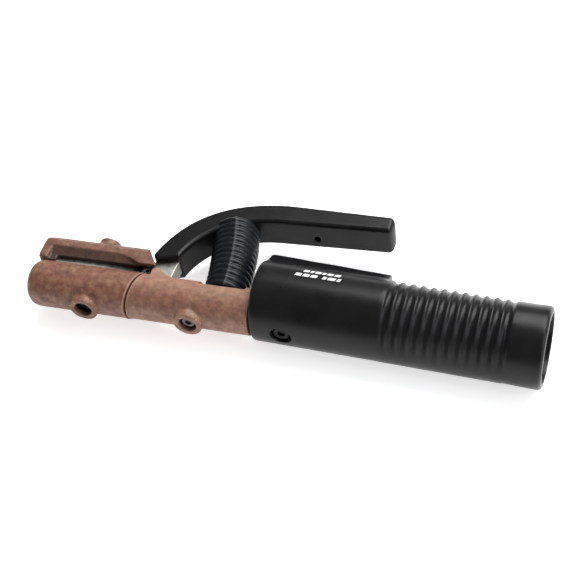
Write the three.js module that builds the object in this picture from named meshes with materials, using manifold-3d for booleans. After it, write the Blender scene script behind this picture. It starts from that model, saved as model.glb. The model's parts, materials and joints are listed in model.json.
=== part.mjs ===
// Insulated tong-type welding electrode holder, lying on its side: +X runs along the handle
// towards the cable end, +Y points to the squeeze lever, +Z is up and parallel to the hinge pin.
// Millimetres. The holder is symmetric about the XY plane through the handle's axis.
import * as THREE from 'three';
import { mergeVertices } from 'three/addons/utils/BufferGeometryUtils.js';
import Module from 'manifold-3d';

const wasm = await Module();
wasm.setup();

// ---- driving dimensions ----------------------------------------------------------------------
const CLEAR = 0.3; // gap kept between pieces that touch
const HANDLE_ROUND = 40; // sides on the handle
const ROUND = 32; // sides on the other large round shapes
const SMALL_ROUND = 16; // sides on screws and holes

// handle, in its own frame: the axis is X and the front end is at X = -121
const HANDLE = {
  front: -121, rear: 0.7, frontR: 17.1, ribR: 16.9, grooveR: 15.9, collarR: 16.7, rearR: 17.1, boreR: 14.3,
  frontWall: 6, firstRib: -60.9, lastRib: -17.6, ribs: 11, edge: 1.5,
};
const RIDGE = {
  front: -121, rear: -67.6, topFront: 21.4, topRear: 19.0, bevel: 1.0, halfTop: 5.6, halfBase: 8.4,
};

// head: jaws, hinge and shank on one axis, which drops away from the lever towards the tip
const HEAD_DROP = 7.05; // head axis below the handle axis at the handle's front face
const HEAD_TILT = THREE.MathUtils.degToRad(1.96);

const HINGE = { u: -50.6, v: 9.5, pinR: 1.5, pinBoreR: 0.8, halfLength: 6.0 };
const EAR = { inner: 3.9, outer: 5.8, r: 3.0 };
const ARM_HALF = 3.6; // half width of the lever casting's web and arm
const JAW = { tip: -99, root: -57.5, face: 9.3, bottom: -5, half: 5.6, gap: 0.3 };
const UPPER_JAW = { tip: -98.5, root: -58.5, top: 16.4, half: 4.4 };
const TEETH = { first: -95, last: -63, pitch: 2.5, r: 0.5, sides: 6 }; // serration of the jaw faces
const SHANK_R = 7.0;
const TAIL_END = 55;
const SOCKET = { r: 4.6, depth: 33 };
const TIP_R = 10.28;
const BODY_R = 10.0;
const TIP_FRONT = -102.8;
const TIP_DOME = 5; // rounding of the lower tip insulator's front end
const TIP_RIM = 7.6; // height of the lower tip insulator's rims beside the jaws
const SEAM = { u: -53.1, lean: 4.1 / 17.6, gap: 0.6 }; // slanted joint of the two lower insulators
const BOSS = { r: 6.4, holeR: 4.0, out: 11.6 };
const TIP_BOSS = { u: -74.5, floor: 6.8 };
const BODY_BOSS = { u: -26.5, floor: 8.2 };
const UPPER_BOSS = { u: -75.3, r: 5.4, holeR: 3.1, top: 26.0, floor: 21.4 };
// upper tip insulator: a round roof whose sides slope in to a narrower band, cut to the
// side outline (u, v) and the nose outline (u, z); the skirt's thin sides pass outside the cheeks
const ROOF = {
  r: 8.6, centre: 15.6, lip: 15.2, band: 12, bandHalf: 6.8, low: 8, front: -106, rear: -36, noseEnd: -97.6,
};
const ROOF_SIDE = [
  [-101.6, 8.4], [-104, 12.8], [-104, 15.6], [-103.3, 17.9], [-101.8, 20.1], [-99.5, 22], [-96.5, 23.4],
  [-93, 24.1], [-89, 24.3], [-58, 24.3], [-55.6, 23.6], [-54.2, 22], [-47, 11.6], [-94, 11.2], [-94, 8.4],
];
const ROOF_NOSE = [[-104, -5], [-100.6, -9.5], [-40, -9.5], [-40, 9.5], [-100.6, 9.5], [-104, 5]];
const ARM_ROOM = [[-60, 8], [-40, 8], [-40, 30], [-47.5, 30], [-52.6, 17], [-60, 17]];
const SKIRT = [[-63.5, 15.2], [-55.2, 11.6], [-46, 11.6], [-46, 15.2]];
const CHEEK = { half: 7.2, outline: [[-48.6, 2], [-39, 2], [-39, 7.2], [-46.9, 11.8], [-48.6, 10.4]] };
const CHEEK_ROOM = { front: -50.4, top: 14.2, half: 7.6 }; // hollow in the skirt around the cheeks
const SEAT = { u: -15.2, level: 4.9, front: -25.6, rear: -4.8 }; // flat for the return spring
const SPIGOT = { r: 4.6, height: 3 };
const BOOT = { r: 9.6, boreR: 8.2 };
const SPRING = { r: 6.4, wireR: 0.9, turns: 7.5, endTurns: 1.0 };
const CABLE_SCREW = { from: 3.9, to: 10.5, r: 2.5 };
const CLAMP_SHOE = [27, 47, 2.6, 3.6, -2.3, 2.3];
const LEVER_HALF = 7.75;
const LEVER_END = 49.4;
const TONGUE = { half: 2.0, end: 24 };
const SET_SCREW_U = [31, 43];
const SCREW = { shankR: 2.0, headR: 2.9, headHeight: 1.9, hexR: 1.6, hexDepth: 1.3 };
const HANDLE_SCREW = { u: 14.2, head: 7.5, headR: 3.6, headHeight: 1.5, wellR: 4.2 };
const LEVER_SCREW = { u: 15.2, z: -2, r: 1.3, from: 47.9, to: 52.3 };
const SPRING_BOSS_R = 7.4;
const WASHER = { r: 7.3, thickness: 0.8 };

// ---- materials -------------------------------------------------------------------------------
function paint(colour, roughness, metalness) {
  return new THREE.MeshStandardMaterial({ color: colour, roughness, metalness });
}
const BROWN = 0x9a7462;
const BLACK = 0x26262a;
const CASTING = 0xa9a79c;
const STEEL = 0xb4b6b8;
const RUBBER = 0x141416;

// ---- solids ----------------------------------------------------------------------------------
function solid(geometry) {
  const bare = geometry.clone();
  for (const name of Object.keys(bare.attributes)) {
    if (name !== 'position') bare.deleteAttribute(name);
  }
  const merged = mergeVertices(bare, 1e-4);
  return new wasm.Manifold(new wasm.Mesh({
    numProp: 3,
    vertProperties: new Float32Array(merged.attributes.position.array),
    triVerts: new Uint32Array(merged.index.array),
  }));
}

function geometryOf(manifold) {
  const mesh = manifold.getMesh();
  const geometry = new THREE.BufferGeometry();
  geometry.setAttribute('position', new THREE.BufferAttribute(mesh.vertProperties, 3));
  geometry.setIndex(new THREE.BufferAttribute(mesh.triVerts, 1));
  return geometry;
}

// a rod of radius r along one axis from `from` to `to`, through the point (a, b) of the other two
function rod(axis, from, to, r, a = 0, b = 0, sides = ROUND) {
  const geometry = new THREE.CylinderGeometry(r, r, to - from, sides);
  if (axis === 'x') geometry.rotateZ(-Math.PI / 2).translate((from + to) / 2, a, b);
  if (axis === 'y') geometry.translate(a, (from + to) / 2, b);
  if (axis === 'z') geometry.rotateX(Math.PI / 2).translate(a, b, (from + to) / 2);
  return solid(geometry);
}

function block(x0, x1, y0, y1, z0, z1) {
  const geometry = new THREE.BoxGeometry(x1 - x0, y1 - y0, z1 - z0);
  return solid(geometry.translate((x0 + x1) / 2, (y0 + y1) / 2, (z0 + z1) / 2));
}

// a side outline in XY given a thickness from z0 to z1
function plate(outline, z0, z1) {
  const shape = Array.isArray(outline)
    ? new THREE.Shape(outline.map(([x, y]) => new THREE.Vector2(x, y))) : outline;
  const settings = { depth: z1 - z0, bevelEnabled: false, curveSegments: 14 };
  const geometry = new THREE.ExtrudeGeometry(shape, settings);
  return solid(geometry.translate(0, 0, z0));
}

// a profile of [radius, place] pairs turned about the X axis
function turned(profile, sides = ROUND) {
  const points = profile.map(([r, x]) => new THREE.Vector2(r, x));
  return solid(new THREE.LatheGeometry(points, sides).rotateZ(-Math.PI / 2));
}

// ---- curves of the lever ---------------------------------------------------------------------
const point = (x, y) => new THREE.Vector2(x, y);
const curve = (...points) => new THREE.CubicBezierCurve(...points.map(([x, y]) => point(x, y)));
const OUTER = curve([-50.8, 18.4], [-45, 38], [-31, 54.8], [2, 56.4]);
const INNER = curve([-38.9, 18.9], [-36.5, 30], [-25, 44.0], [-3, 45.6]);
const GRIP_UNDER = 48.0; // underside of the grip at its rear end
const GRIP_TOP = 56.4;
const CURVE_STEPS = 18;

// the lever insulator's side outline, moved outwards all round by `grow`
function leverOutline(grow = 0) {
  const shape = new THREE.Shape();
  const outer = offsetCurve(OUTER, grow);
  const inner = offsetCurve(INNER, -grow).reverse();
  const end = LEVER_END + grow;
  const corner = 2.5;
  shape.moveTo(outer[0].x - grow, outer[0].y - grow);
  outer.forEach((p) => shape.lineTo(p.x, p.y));
  shape.lineTo(end - corner, GRIP_TOP + grow);
  shape.quadraticCurveTo(end, GRIP_TOP + grow, end, GRIP_TOP + grow - corner);
  shape.lineTo(end, GRIP_UNDER - grow + corner);
  shape.quadraticCurveTo(end, GRIP_UNDER - grow, end - corner, GRIP_UNDER - grow);
  inner.forEach((p) => shape.lineTo(p.x, p.y));
  shape.lineTo(-48.3, 15.9 - grow);
  return shape;
}

function offsetCurve(curve, distance) {
  return curve.getPoints(CURVE_STEPS).map((p, i) => {
    const along = curve.getTangent(i / CURVE_STEPS);
    return point(p.x - along.y * distance, p.y + along.x * distance);
  });
}

// a band of the given half thickness along the middle of the lever, out to the tongue's end
function tongueOutline(half, end) {
  const middle = (t) => OUTER.getPoint(t).add(INNER.getPoint(t)).multiplyScalar(0.5);
  const points = [];
  for (let t = 0.16; t <= 1; t += 0.06) points.push(middle(t));
  points.push(point(end, middle(1).y + 0.9));
  const side = (sign) => points.map((p, i) => {
    const before = points[Math.max(i - 1, 0)];
    const after = points[Math.min(i + 1, points.length - 1)];
    const along = after.clone().sub(before).normalize();
    return [p.x - sign * along.y * half, p.y + sign * along.x * half];
  });
  return [...side(1), ...side(-1).reverse()];
}

// the arm's broad root, from the hinge up into the insulator
function armOutline(grow = 0) {
  return [
    [-55 - grow, 10.5 - grow], [-40.2 + grow, 8.9 - grow], [-39.7 + grow, 19 + grow],
    [-38.6 + grow, 29 + grow], [-44 - grow, 31.5 + grow], [-48.2 - grow, 18 + grow],
    [-53 - grow, 16.2 + grow],
  ];
}

// ---- the return spring's line ----------------------------------------------------------------
class SpringLine extends THREE.QuadraticBezierCurve3 {
  constructor(end = 1) {
    super(new THREE.Vector3(SEAT.u, SEAT.level, 0), new THREE.Vector3(SEAT.u, 26, 0),
      new THREE.Vector3(-19.8, 44, 0));
    this.end = end;
  }

  getPoint(t, target) {
    return super.getPoint(t * this.end, target);
  }
}
const SPRING_START = 0.06;
const SPRING_STOP = 0.78;
const SEAT_PLACE = 0.84; // where the lever's spring boss ends, as a part of the line

class SpringCoil extends THREE.Curve {
  getPoint(t) {
    const turns = SPRING.turns * t;
    const flat = SPRING.endTurns * 2 * SPRING.wireR / 34; // the closed end coils use less height
    const openTurns = SPRING.turns - 2 * SPRING.endTurns;
    const open = THREE.MathUtils.clamp((turns - SPRING.endTurns) / openTurns, 0, 1);
    const ends = Math.min(turns, SPRING.endTurns) + Math.max(turns - SPRING.turns + SPRING.endTurns, 0);
    const place = flat * ends / SPRING.endTurns + (1 - 2 * flat) * open;
    const s = THREE.MathUtils.lerp(SPRING_START, SPRING_STOP, place);
    const line = new SpringLine();
    const centre = line.getPoint(s);
    const along = line.getTangent(s);
    const across = new THREE.Vector3(along.y, -along.x, 0);
    const angle = turns * 2 * Math.PI;
    return centre.addScaledVector(across, SPRING.r * Math.cos(angle))
      .add(new THREE.Vector3(0, 0, SPRING.r * Math.sin(angle)));
  }
}

function sweep(curve, steps, r, sides) {
  const circle = new THREE.Shape(Array.from({ length: sides }, (_, i) => {
    const angle = i * 2 * Math.PI / sides;
    return point(r * Math.cos(angle), r * Math.sin(angle));
  }));
  return solid(new THREE.ExtrudeGeometry(circle, { steps, extrudePath: curve, bevelEnabled: false }));
}

// ---- the scene graph -------------------------------------------------------------------------
const holder = new THREE.Group();
const head = new THREE.Group();
head.position.set(HANDLE.front, -HEAD_DROP, 0);
head.rotation.z = HEAD_TILT;
holder.add(head);

function add(group, name, manifold, colour, roughness, metalness) {
  const mesh = new THREE.Mesh(geometryOf(manifold), paint(colour, roughness, metalness));
  mesh.name = name;
  group.add(mesh);
}

head.updateMatrix();
const inHandleFrame = (manifold) => manifold.transform(head.matrix.elements);

// everything ahead of (side -1) or behind (side 1) the slanted seam
function besideSeam(side) {
  const edge = (v) => SEAM.u + SEAM.lean * v + side * SEAM.gap / 2;
  const far = side * 130;
  const corners = [[edge(-20), -20], [edge(20), 20], [far, 20], [far, -20]];
  return plate(side > 0 ? corners.reverse() : corners, -20, 20);
}

// ---- body casting: lower jaw, ears, shank and cable socket -----------------------------------
function jawTeeth() {
  const teeth = [];
  for (let u = TEETH.first; u <= TEETH.last; u += TEETH.pitch) {
    teeth.push(rod('z', -20, 20, TEETH.r, u, JAW.face + JAW.gap / 2, TEETH.sides));
  }
  return wasm.Manifold.union(teeth);
}

function bodyCasting() {
  const ear = rod('z', -EAR.outer, EAR.outer, EAR.r, HINGE.u, HINGE.v, ROUND)
    .add(block(HINGE.u - EAR.r, HINGE.u + EAR.r, 0, HINGE.v, -EAR.outer, EAR.outer));
  const seatCut = block(SEAT.front - 1, SEAT.rear + 1, 2.5, 20, -20, 20);
  const forkSlot = block(JAW.root, -38.6, 4.4, 30, -EAR.inner, EAR.inner);
  let casting = block(JAW.tip, JAW.root + 3, JAW.bottom, JAW.face, -JAW.half, JAW.half)
    .add(rod('x', JAW.root, TAIL_END, SHANK_R))
    .add(ear)
    .subtract(seatCut)
    .subtract(forkSlot)
    .subtract(rod('z', -20, 20, HINGE.pinR + 0.2, HINGE.u, HINGE.v, SMALL_ROUND))
    .subtract(jawTeeth())
    .subtract(rod('x', TAIL_END - SOCKET.depth, TAIL_END + 1, SOCKET.r))
    .subtract(screwHole(TIP_BOSS.u, -TIP_BOSS.floor, 1, 10))
    .subtract(screwHole(BODY_BOSS.u, -BODY_BOSS.floor, 1, 8))
    .subtract(screwHole(HANDLE_SCREW.u, -HANDLE_SCREW.head, 1, 8));
  for (const u of SET_SCREW_U) {
    casting = casting.subtract(rod('y', 2, 12, CABLE_SCREW.r + 0.2, u, 0, SMALL_ROUND));
  }
  return casting;
}

// ---- screws: socket heads on a plain shank, along Y ------------------------------------------
// hole for a screw whose head sits at `level` and whose shank goes in the direction `side`
function screwHole(u, level, side, length) {
  const ends = [level - side * 0.5, level + side * (length + CLEAR)].sort((a, b) => a - b);
  return rod('y', ends[0], ends[1], SCREW.shankR + 0.2, u, 0, SMALL_ROUND);
}

function capScrew(u, level, side, length, headR = SCREW.headR, headHeight = SCREW.headHeight) {
  const head1 = rod('y', -headHeight, 0, headR, 0, 0, SMALL_ROUND);
  const shank = rod('y', -0.2, length, SCREW.shankR, 0, 0, SMALL_ROUND);
  const hex = rod('y', -headHeight - 1, -headHeight + SCREW.hexDepth, SCREW.hexR, 0, 0, 6);
  const screw = head1.add(shank).subtract(hex);
  return (side > 0 ? screw : screw.rotate([180, 0, 0])).translate([u, level, 0]);
}

function setScrew(u, from, to, r) {
  const hex = rod('y', to - 1.8, to + 1, r * 0.5, u, 0, 6);
  return rod('y', from, to, r, u, 0, SMALL_ROUND).subtract(hex);
}

// the hole up to `to` in the tongue and the lever insulator
function leverScrewHole(to) {
  const { r, u, z } = LEVER_SCREW;
  return rod('y', 40, to, r + 0.2, u, z, SMALL_ROUND);
}

// ---- insulators ------------------------------------------------------------------------------
const earRelief = () => block(-55.2, -45.9, 0, 20, -EAR.outer - CLEAR, EAR.outer + CLEAR);

function lowerTipInsulator() {
  const dome = [[0, TIP_FRONT], [TIP_R - TIP_DOME, TIP_FRONT]];
  for (let step = 1; step <= 5; step += 1) {
    const angle = step * Math.PI / 10;
    dome.push([TIP_R - TIP_DOME * (1 - Math.sin(angle)), TIP_FRONT + TIP_DOME * (1 - Math.cos(angle))]);
  }
  dome.push([TIP_R, -45], [0, -45]);
  const boss = rod('y', -BOSS.out, -TIP_R + 4, BOSS.r, TIP_BOSS.u, 0, ROUND);
  const jawRoom = JAW.half + CLEAR;
  return turned(dome)
    .add(boss)
    .subtract(block(-130, -40, TIP_RIM, 20, -20, 20))
    .subtract(block(JAW.tip - CLEAR, -40, JAW.bottom - CLEAR, 20, -jawRoom, jawRoom))
    .subtract(rod('x', JAW.root - CLEAR, -40, SHANK_R + CLEAR))
    .subtract(earRelief())
    .subtract(rod('y', -20, -TIP_BOSS.floor, BOSS.holeR, TIP_BOSS.u, 0, SMALL_ROUND))
    .subtract(screwHole(TIP_BOSS.u, -TIP_BOSS.floor, 1, 10))
    .intersect(besideSeam(-1));
}

function bodyInsulator() {
  const cheeks = plate(CHEEK.outline, -CHEEK.half, CHEEK.half);
  const boss = rod('y', -BOSS.out, -BODY_R + 4, BOSS.r, BODY_BOSS.u, 0, ROUND);
  const shankBore = rod('x', -60, 1, SHANK_R + CLEAR)
    .subtract(block(SEAT.front, SEAT.rear, SEAT.level - 2.1, 20, -20, 20));
  return rod('x', -60, -CLEAR, BODY_R)
    .add(cheeks)
    .add(boss)
    .subtract(shankBore)
    .subtract(block(SEAT.front, SEAT.rear, SEAT.level, 20, -20, 20))
    .add(rod('y', SEAT.level - 1, SEAT.level + SPIGOT.height, SPIGOT.r, SEAT.u, 0, SMALL_ROUND))
    .subtract(block(-60, -38.3, 4.1, 20, -EAR.inner, EAR.inner))
    .subtract(earRelief())
    .subtract(rod('y', -20, -BODY_BOSS.floor, BOSS.holeR, BODY_BOSS.u, 0, SMALL_ROUND))
    .subtract(screwHole(BODY_BOSS.u, -BODY_BOSS.floor, 1, 8))
    .intersect(besideSeam(1));
}

function roofSection() {
  const section = new THREE.Shape();
  section.moveTo(-ROOF.bandHalf, ROOF.low);
  section.lineTo(ROOF.bandHalf, ROOF.low);
  section.lineTo(ROOF.bandHalf, ROOF.band);
  section.lineTo(ROOF.r, ROOF.lip);
  section.lineTo(ROOF.r, ROOF.centre);
  section.absarc(0, ROOF.centre, ROOF.r, 0, Math.PI, false);
  section.lineTo(-ROOF.r, ROOF.lip);
  section.lineTo(-ROOF.bandHalf, ROOF.band);
  return section;
}

function upperTipInsulator() {
  const settings = { depth: ROOF.rear - ROOF.front, bevelEnabled: false, curveSegments: 20 };
  const along = new THREE.ExtrudeGeometry(roofSection(), settings);
  const upperRoom = [UPPER_JAW.tip - CLEAR, -40, 0, UPPER_JAW.top + CLEAR];
  const lowerRoom = [JAW.tip - CLEAR, -40, 0, JAW.face + JAW.gap];
  const earRoom = [-56, -40, 0, HINGE.v + EAR.r + CLEAR];
  const cheekRoom = [CHEEK_ROOM.front, -40, 0, CHEEK_ROOM.top];
  const within = (room, half) => block(...room, -half, half);
  return solid(along.rotateY(Math.PI / 2).translate(ROOF.front, 0, 0))
    .add(plate(SKIRT, -ROOF.r, ROOF.r))
    .add(block(ROOF.front, ROOF.noseEnd, ROOF.low, ROOF.centre, -ROOF.r, ROOF.r))
    .intersect(plate([...ROOF_SIDE].reverse(), -20, 20))
    .intersect(plate(ROOF_NOSE, 0, 40).rotate([-90, 0, 0]))
    .add(rod('y', 20, UPPER_BOSS.top, UPPER_BOSS.r, UPPER_BOSS.u, 0, ROUND))
    .subtract(within(upperRoom, UPPER_JAW.half + CLEAR))
    .subtract(within(lowerRoom, JAW.half + CLEAR))
    .subtract(within(earRoom, EAR.outer + CLEAR + 0.2))
    .subtract(within(cheekRoom, CHEEK_ROOM.half))
    .subtract(plate(ARM_ROOM, -ARM_HALF - 0.5, ARM_HALF + 0.5))
    .subtract(rod('y', UPPER_BOSS.floor, 40, UPPER_BOSS.holeR, UPPER_BOSS.u, 0, SMALL_ROUND))
    .subtract(screwHole(UPPER_BOSS.u, UPPER_BOSS.floor, -1, 9));
}

// ---- lever casting: upper jaw, web, knuckle, arm and tongue ----------------------------------
function leverCasting() {
  const web = plate([[-60, 9.8], [-51, 9.8], [-50, 16.2], [-60, 16.2]], -ARM_HALF, ARM_HALF);
  const jaw = [UPPER_JAW.tip, UPPER_JAW.root, JAW.face + JAW.gap, UPPER_JAW.top];
  return block(...jaw, -UPPER_JAW.half, UPPER_JAW.half)
    .add(web)
    .add(rod('z', -ARM_HALF, ARM_HALF, 4.4, HINGE.u, HINGE.v, ROUND))
    .add(plate(armOutline(), -ARM_HALF, ARM_HALF))
    .add(plate(tongueOutline(TONGUE.half, TONGUE.end).reverse(), -ARM_HALF, ARM_HALF))
    .subtract(rod('z', -20, 20, HINGE.pinR + 0.2, HINGE.u, HINGE.v, SMALL_ROUND))
    .subtract(jawTeeth())
    .subtract(screwHole(UPPER_BOSS.u, UPPER_BOSS.floor, -1, 9))
    .subtract(leverScrewHole(LEVER_SCREW.to + CLEAR));
}

// ---- lever insulator, with a boss that locates the spring ------------------------------------
// turns a solid built along +Y at the origin onto the spring's line
function onSpringLine(manifold, place) {
  const line = new SpringLine();
  const at = line.getPoint(place);
  const along = line.getTangent(place);
  const turn = THREE.MathUtils.radToDeg(Math.atan2(-along.x, along.y));
  return manifold.rotate([0, 0, turn]).translate([at.x, at.y, 0]);
}

function leverInsulator() {
  const edge = 1.4;
  const bevel = { bevelThickness: edge, bevelSize: edge, bevelOffset: -edge, bevelSegments: 2 };
  const bar = new THREE.ExtrudeGeometry(leverOutline(), { depth: 2 * (LEVER_HALF - edge), ...bevel });
  const spigot = rod('y', -SPIGOT.height, 1, SPIGOT.r, 0, 0, SMALL_ROUND);
  const boss = rod('y', 0, 7, SPRING_BOSS_R, 0, 0, ROUND).add(spigot);
  const inner = ARM_HALF + CLEAR;
  const tongue = tongueOutline(TONGUE.half + CLEAR, TONGUE.end + CLEAR).reverse();
  return solid(bar.translate(0, 0, edge - LEVER_HALF))
    .add(onSpringLine(boss, SEAT_PLACE))
    .subtract(plate(armOutline(CLEAR), -inner, inner))
    .subtract(plate(tongue, -inner, inner))
    .subtract(leverScrewHole(51));
}

// ---- handle ----------------------------------------------------------------------------------
function handleProfile() {
  const { front, rear, frontR, ribR, grooveR, collarR, rearR, firstRib, lastRib, ribs, edge } = HANDLE;
  const pitch = (lastRib - firstRib) / (ribs - 1);
  const profile = [[0, front], [frontR - edge, front], [frontR - 0.4, front + 0.4], [frontR, front + edge]];
  profile.push([frontR - 0.3, firstRib - 0.9 * pitch]);
  for (let i = 0; i <= ribs; i += 1) {
    const groove = firstRib + (i - 0.5) * pitch;
    profile.push([grooveR, groove]);
    if (i < ribs) profile.push([ribR, groove + 0.5 * pitch - 0.7], [ribR, groove + 0.5 * pitch + 0.7]);
  }
  profile.push([collarR, lastRib + 0.9 * pitch], [rearR, rear - 2], [rearR - 0.9, rear], [0, rear]);
  return profile;
}

function handle() {
  const { boreR, frontWall } = HANDLE;
  const { front, rear, topFront, topRear, bevel, halfTop, halfBase } = RIDGE;
  const section = [[-10.5, 10.5], [10.5, 10.5], [halfBase, 17], [halfTop, topFront], [-halfTop, topFront],
    [-halfBase, 17]];
  const across = plate(section, front, rear).rotate([0, 90, 0]);
  const beside = plate([[front, 10], [rear, 10], [rear, topRear], [front + bevel, topFront],
    [front, topFront - bevel]], -20, 20);
  const { u, head: screwHead, wellR } = HANDLE_SCREW;
  const screwWell = rod('y', -30, -screwHead + CLEAR, wellR, u, 0, SMALL_ROUND);
  return turned(handleProfile(), HANDLE_ROUND)
    .add(across.intersect(beside))
    .subtract(rod('x', HANDLE.front + frontWall, HANDLE.rear + 1, boreR, 0, 0, HANDLE_ROUND))
    .subtract(inHandleFrame(rod('x', -2, frontWall + 2, SHANK_R + CLEAR)))
    .subtract(inHandleFrame(screwWell));
}

// ---- spring, boot and small pieces -----------------------------------------------------------
function springBoot() {
  const outside = sweep(new SpringLine(), 12, BOOT.r, ROUND);
  const bore = sweep(new SpringLine(1.1), 12, BOOT.boreR, ROUND);
  return outside
    .subtract(bore)
    .subtract(block(-40, 10, 0, SEAT.level + CLEAR, -20, 20))
    .subtract(plate(leverOutline(CLEAR), -20, 20));
}

function springWasher() {
  return rod('y', 0, WASHER.thickness, WASHER.r, 0, 0, SMALL_ROUND)
    .subtract(rod('y', -1, 2, SPIGOT.r + 0.25, 0, 0, SMALL_ROUND));
}

function hingePin() {
  const { u, v, pinR, pinBoreR, halfLength } = HINGE;
  return rod('z', -halfLength, halfLength, pinR, u, v, SMALL_ROUND)
    .subtract(rod('z', -20, 20, pinBoreR, u, v, SMALL_ROUND));
}

// ---- assembly --------------------------------------------------------------------------------
const upperWasher = onSpringLine(springWasher().translate([0, -WASHER.thickness - CLEAR, 0]), SEAT_PLACE);
const { u: handleScrewU, head: handleScrewHead, headR, headHeight } = HANDLE_SCREW;
const handleScrew = capScrew(handleScrewU, -handleScrewHead, 1, 7, headR, headHeight);
// built upside down, because its socket faces the handle
const leverScrew = setScrew(LEVER_SCREW.u, -LEVER_SCREW.to, -LEVER_SCREW.from, LEVER_SCREW.r)
  .mirror([0, 1, 0])
  .translate([0, 0, LEVER_SCREW.z]);

add(holder, 'handle', handle(), BLACK, 0.55, 0);
add(head, 'body_casting', bodyCasting(), CASTING, 0.4, 1);
add(head, 'lower_tip_insulator', lowerTipInsulator(), BROWN, 0.6, 0);
add(head, 'body_insulator', bodyInsulator(), BROWN, 0.6, 0);
add(head, 'hinge_pin', hingePin(), STEEL, 0.35, 1);
add(head, 'lever_casting', leverCasting(), CASTING, 0.4, 1);
add(head, 'upper_tip_insulator', upperTipInsulator(), BROWN, 0.6, 0);
add(head, 'lever_insulator', leverInsulator(), BLACK, 0.5, 0);
add(head, 'return_spring', sweep(new SpringCoil(), 105, SPRING.wireR, 6), STEEL, 0.35, 1);
add(head, 'spring_boot', springBoot(), RUBBER, 0.3, 0);
add(head, 'spring_washer_lower', springWasher().translate([SEAT.u, SEAT.level + CLEAR, 0]), STEEL, 0.4, 1);
add(head, 'spring_washer_upper', upperWasher, STEEL, 0.4, 1);
add(head, 'lower_tip_screw', capScrew(TIP_BOSS.u, -TIP_BOSS.floor, 1, 9), STEEL, 0.35, 1);
add(head, 'upper_tip_screw', capScrew(UPPER_BOSS.u, UPPER_BOSS.floor, -1, 8), STEEL, 0.35, 1);
add(head, 'body_insulator_screw', capScrew(BODY_BOSS.u, -BODY_BOSS.floor, 1, 7), STEEL, 0.35, 1);
add(head, 'handle_screw', handleScrew, STEEL, 0.4, 1);
add(head, 'lever_set_screw', leverScrew, STEEL, 0.4, 1);
['front', 'rear'].forEach((place, i) => {
  const screw = setScrew(SET_SCREW_U[i], CABLE_SCREW.from, CABLE_SCREW.to, CABLE_SCREW.r);
  add(head, `cable_set_screw_${place}`, screw, STEEL, 0.4, 1);
});
add(head, 'cable_clamp_shoe', block(...CLAMP_SHOE), STEEL, 0.5, 1);

// put the origin at the bottom centre of the whole holder's box
holder.updateMatrixWorld(true);
const box = new THREE.Box3().setFromObject(holder, true);
const middle = box.getCenter(new THREE.Vector3());
holder.position.set(-middle.x, -middle.y, -box.min.z);

export default holder;
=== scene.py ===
# Welding electrode holder lying on its side: visible pieces, materials, floor, lights and camera.
# Lengths are in millimetres in one of two local frames, and `placed` turns them into metres:
#   handle frame: X along the handle's axis to the cable end, Y towards the lever, Z up
#   head frame (u, v, z): the same for the jaws, hinge and shank, dropped and tilted from the handle
# The floor and the lights are in metres, in the row frame.
import bmesh
import bpy
import json
import math
import numpy as np
from mathutils import Matrix, Vector


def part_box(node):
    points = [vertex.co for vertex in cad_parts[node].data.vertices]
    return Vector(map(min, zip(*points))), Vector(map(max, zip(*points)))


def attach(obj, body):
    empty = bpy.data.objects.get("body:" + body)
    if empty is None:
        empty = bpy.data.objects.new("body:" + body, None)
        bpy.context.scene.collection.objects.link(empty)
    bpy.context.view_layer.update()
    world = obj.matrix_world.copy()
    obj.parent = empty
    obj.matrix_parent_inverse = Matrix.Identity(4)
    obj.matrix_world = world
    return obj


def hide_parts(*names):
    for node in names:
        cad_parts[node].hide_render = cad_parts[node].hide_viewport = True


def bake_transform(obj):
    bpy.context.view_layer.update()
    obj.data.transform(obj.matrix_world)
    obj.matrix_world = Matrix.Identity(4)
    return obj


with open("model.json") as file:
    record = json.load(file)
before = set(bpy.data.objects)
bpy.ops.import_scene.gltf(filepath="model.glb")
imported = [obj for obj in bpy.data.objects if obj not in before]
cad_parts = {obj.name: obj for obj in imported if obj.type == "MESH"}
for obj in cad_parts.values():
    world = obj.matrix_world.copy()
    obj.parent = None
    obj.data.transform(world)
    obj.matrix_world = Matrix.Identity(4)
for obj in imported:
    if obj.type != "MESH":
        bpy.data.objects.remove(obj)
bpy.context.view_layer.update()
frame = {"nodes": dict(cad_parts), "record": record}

MM = 0.001
scene = bpy.context.scene

# ---- frames ------------------------------------------------------------------------------------
HANDLE_FRONT, HANDLE_R = -121.0, 17.1
HEAD_DROP, HEAD_TILT = 7.05, math.radians(1.96)
handle_low, handle_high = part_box("handle")
ORIGIN = Vector((handle_low[0] - HANDLE_FRONT * MM, handle_low[1] + HANDLE_R * MM, HANDLE_R * MM))
HANDLE_FRAME = Matrix.Translation(ORIGIN) @ Matrix.Scale(MM, 4)
HEAD_FRAME = (HANDLE_FRAME @ Matrix.Translation((HANDLE_FRONT, -HEAD_DROP, 0))
              @ Matrix.Rotation(HEAD_TILT, 4, "Z"))


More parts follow.
